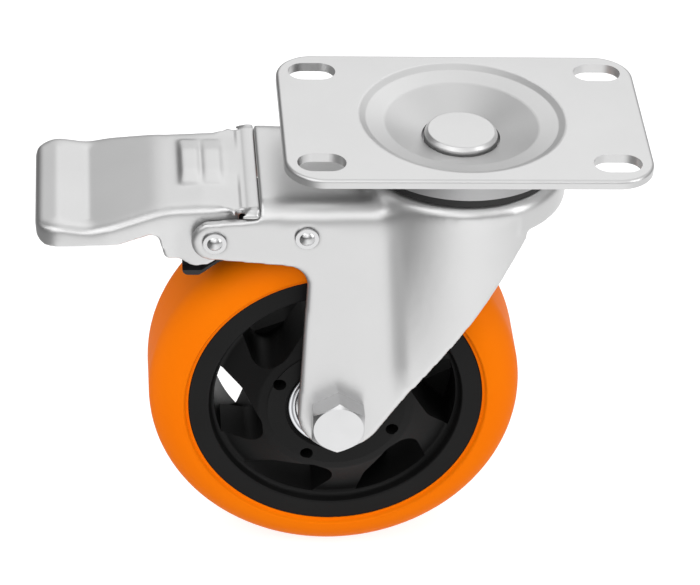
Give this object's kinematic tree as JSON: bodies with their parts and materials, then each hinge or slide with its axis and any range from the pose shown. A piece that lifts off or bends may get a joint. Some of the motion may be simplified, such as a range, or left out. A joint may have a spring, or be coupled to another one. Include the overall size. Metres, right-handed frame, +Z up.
{
  "type": "swivel castor",
  "caption": "Plate-mounted swivel castor with a pressed steel fork, a foot brake pedal and a smooth orange tread on a dark spoked core.",
  "frame": {"origin": "the swivel axis at the top face of the mounting plate", "axes": "+Z up along the swivel axis, +X away from the side the wheel trails to, Y along the axle"},
  "size_m": [0.1583, 0.063, 0.1305],
  "materials": {
    "zinc_steel": "satin zinc plate on pressed sheet",
    "bright_zinc": "bright zinc plate",
    "bearing_steel": "polished",
    "orange_tread": "satin polyurethane",
    "black_nylon": "moulded, satin",
    "black_rubber": "matt",
    "black_steel": "black oxide, satin",
    "white_nylon": "natural nylon"
  },
  "bodies": {
    "plate": {"top_plate": "zinc_steel", "upper_race": "zinc_steel", "kingpin": "zinc_steel", "lower_race": "zinc_steel"},
    "upper_ball_ring": {"upper_swivel_balls": "bearing_steel"},
    "lower_ball_ring": {"lower_swivel_balls": "bearing_steel"},
    "fork": {"fork": "zinc_steel", "dust_seal": "black_rubber", "axle_bolt": "bright_zinc", "axle_nut": "bright_zinc", "nut_insert": "white_nylon", "pedal_rivet": "bright_zinc", "cross_rivet": "bright_zinc", "axle_sleeve": "bright_zinc", "bearing_spacer": "bright_zinc", "near_bearing_inner_ring": "bearing_steel", "far_bearing_inner_ring": "bearing_steel", "near_axle_spacer": "bright_zinc", "far_axle_spacer": "bright_zinc"},
    "wheel": {"wheel_core": "black_nylon", "tread": "orange_tread", "near_bearing_outer_ring": "bearing_steel", "far_bearing_outer_ring": "bearing_steel", "near_bearing_shields": "bright_zinc", "far_bearing_shields": "bright_zinc"},
    "wheel_ball_rings": {"near_bearing_balls": "bearing_steel", "far_bearing_balls": "bearing_steel"},
    "pedal": {"brake_pedal": "zinc_steel"},
    "brake": {"brake_leaf": "black_steel", "brake_block": "black_rubber"}
  },
  "joints": [
    {"name": "swivel", "type": "hinge", "parent": "plate", "child": "fork", "pos_m": [0, 0, -0.011], "axis": [0, 0, 1], "continuous": true},
    {"name": "upper_ball_orbit", "type": "hinge", "parent": "plate", "child": "upper_ball_ring", "pos_m": [0, 0, -0.009], "axis": [0, 0, 1], "continuous": true},
    {"name": "lower_ball_orbit", "type": "hinge", "parent": "plate", "child": "lower_ball_ring", "pos_m": [0, 0, -0.015], "axis": [0, 0, 1], "continuous": true},
    {"name": "wheel_spin", "type": "hinge", "parent": "fork", "child": "wheel", "pos_m": [-0.03046, 0, -0.08049], "axis": [0, 1, 0], "continuous": true},
    {"name": "wheel_ball_orbit", "type": "hinge", "parent": "fork", "child": "wheel_ball_rings", "pos_m": [-0.03046, 0, -0.08049], "axis": [0, 1, 0], "continuous": true},
    {"name": "pedal_press", "type": "hinge", "parent": "fork", "child": "pedal", "pos_m": [-0.0646, 0, -0.02485], "axis": [0, 1, 0], "range_deg": [-35, 0]},
    {"name": "leaf_flex", "type": "hinge", "parent": "fork", "child": "brake", "pos_m": [-0.0408, 0, -0.0233], "axis": [0, 1, 0], "range_deg": [-6.65, 0]}
  ],
  "couplings": [
    {"joint": "upper_ball_orbit", "follows": "swivel", "ratio": 0.5},
    {"joint": "lower_ball_orbit", "follows": "swivel", "ratio": 0.5},
    {"joint": "wheel_ball_orbit", "follows": "wheel_spin", "ratio": 0.6322},
    {"joint": "leaf_flex", "follows": "pedal_press", "ratio": 0.19}
  ]
}
